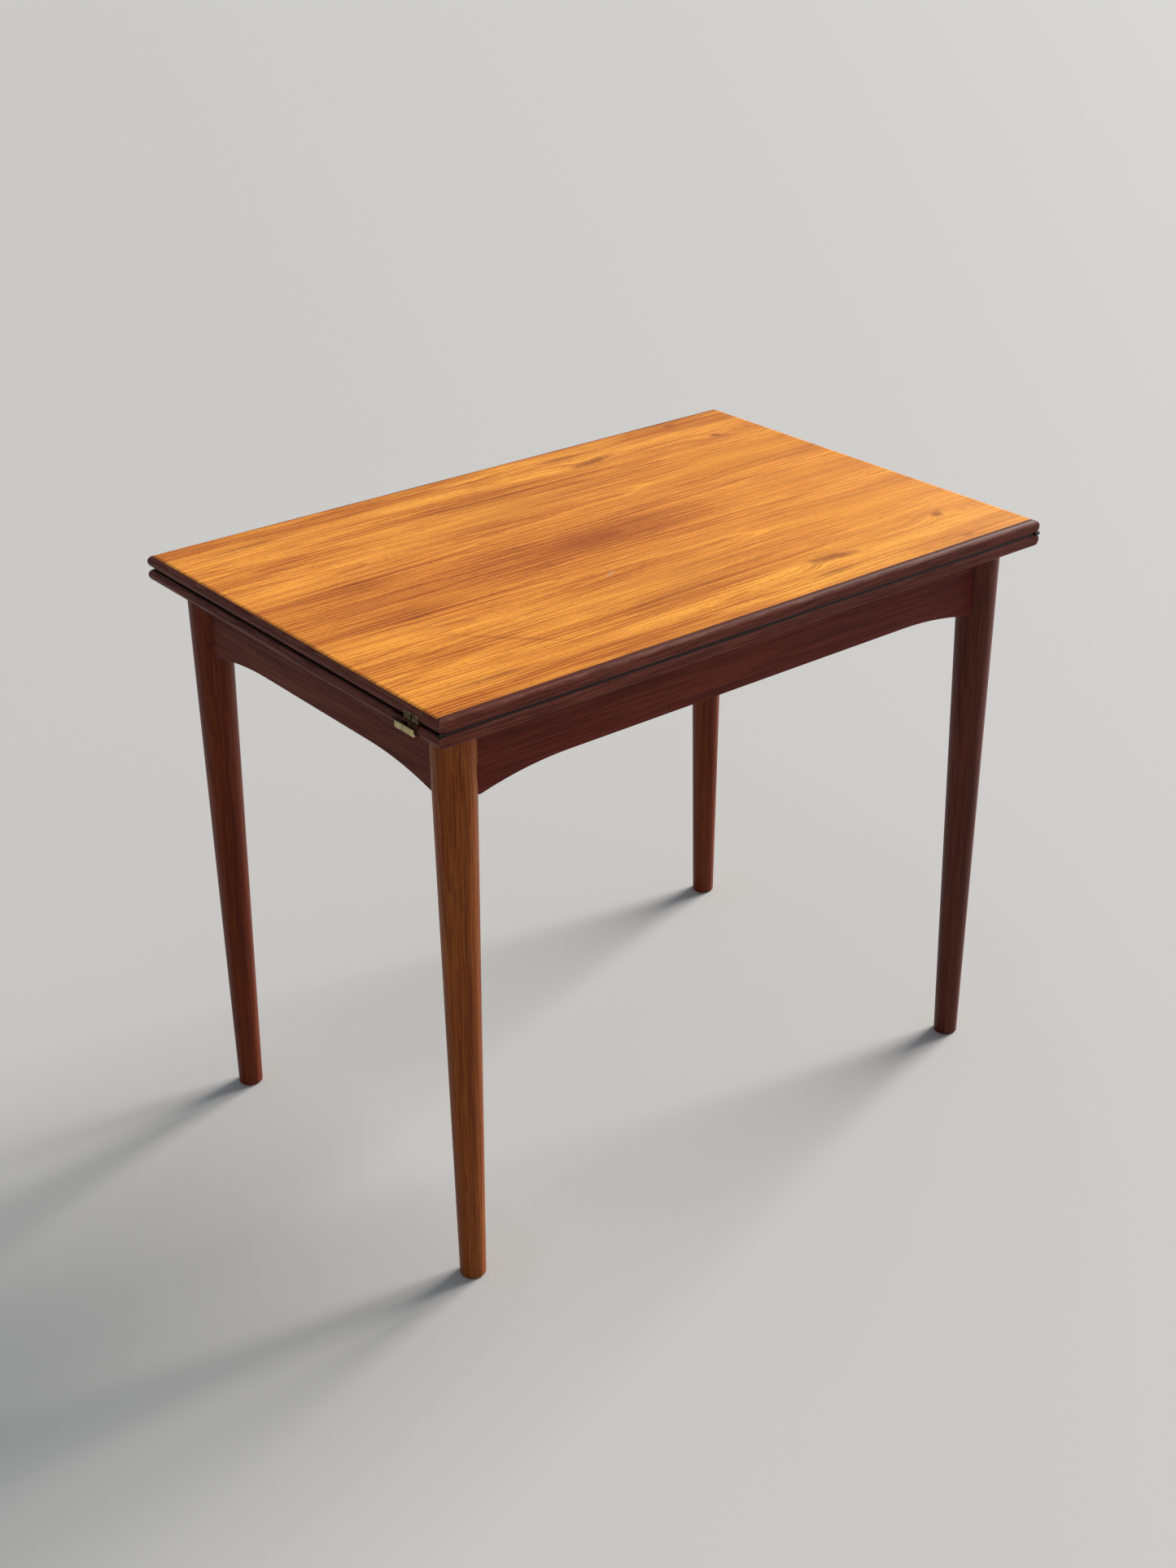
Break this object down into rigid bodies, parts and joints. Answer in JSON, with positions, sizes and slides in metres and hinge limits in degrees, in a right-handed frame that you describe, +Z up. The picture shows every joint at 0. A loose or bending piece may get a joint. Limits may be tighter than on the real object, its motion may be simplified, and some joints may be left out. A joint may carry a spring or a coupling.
{
  "type": "flip-top table",
  "caption": "Small teak flip-top dining table: two stacked leaves that slide back on the frame and fold open like a book, on round tapered legs with arched aprons.",
  "frame": {"origin": "middle of the closed table's footprint, on the floor", "axes": "+Z up; +X along the fold line and the long edges; +Y from the fold edge towards the back edge"},
  "size_m": [0.8902, 0.5904, 0.73],
  "materials": {
    "teak_veneer": "oiled honey-coloured teak veneer, satin",
    "teak_edge": "solid teak lippings, darkened by age, satin",
    "teak_leg": "solid turned teak, oiled, satin",
    "teak_apron": "solid teak, oiled, satin",
    "beech": "plain sanded beech, unfinished",
    "blockboard": "blockboard core, hidden",
    "brass": "aged brass, brushed",
    "steel": "plain zinc-dull steel"
  },
  "bodies": {
    "frame": {"leg_front_left": "teak_leg", "leg_front_right": "teak_leg", "leg_back_left": "teak_leg", "leg_back_right": "teak_leg", "apron_front": "teak_apron", "apron_back": "teak_apron", "apron_left": "teak_apron", "apron_right": "teak_apron", "corner_block_front_left": "beech", "corner_block_front_right": "beech", "corner_block_back_left": "beech", "corner_block_back_right": "beech", "leg_bolts": "steel", "leg_bolt_washers": "steel", "guide_rail_left": "beech", "guide_rail_right": "beech"},
    "lower_leaf": {"lower_core": "blockboard", "lower_face_veneer": "teak_veneer", "lower_back_veneer": "teak_edge", "lower_lipping_fold": "teak_edge", "lower_lipping_back": "teak_edge", "lower_lipping_left": "teak_edge", "lower_lipping_right": "teak_edge", "runner_left": "beech", "runner_right": "beech", "runner_screws": "steel", "hinge_lower_left": "brass", "hinge_lower_right": "brass", "hinge_pin_left": "steel", "hinge_pin_right": "steel", "hinge_screws_lower": "brass", "catch_plate_left": "brass", "catch_plate_right": "brass", "catch_plate_screws": "brass"},
    "upper_leaf": {"upper_core": "blockboard", "upper_face_veneer": "teak_veneer", "upper_back_veneer": "teak_veneer", "upper_lipping_fold": "teak_edge", "upper_lipping_back": "teak_edge", "upper_lipping_left": "teak_edge", "upper_lipping_right": "teak_edge", "hinge_upper_left": "brass", "hinge_upper_right": "brass", "hinge_screws_upper": "brass", "keeper_plate_left": "brass", "keeper_plate_right": "brass", "keeper_screws": "brass"},
    "catch_left": {"catch_bar_left": "brass", "catch_bolt_left": "steel"},
    "catch_right": {"catch_bar_right": "brass", "catch_bolt_right": "steel"}
  },
  "joints": [
    {"name": "top_slide", "type": "slide", "parent": "frame", "child": "lower_leaf", "axis": [0, 1, 0], "range_m": [0, 0.2942]},
    {"name": "leaf_fold", "type": "hinge", "parent": "lower_leaf", "child": "upper_leaf", "pos_m": [0, -0.2942, 0.7138], "axis": [1, 0, 0], "range_deg": [0, 180]},
    {"name": "catch_left_slide", "type": "slide", "parent": "lower_leaf", "child": "catch_left", "axis": [0, 0, 1], "range_m": [0, 0.006]},
    {"name": "catch_right_slide", "type": "slide", "parent": "lower_leaf", "child": "catch_right", "axis": [0, 0, 1], "range_m": [0, 0.006]}
  ]
}
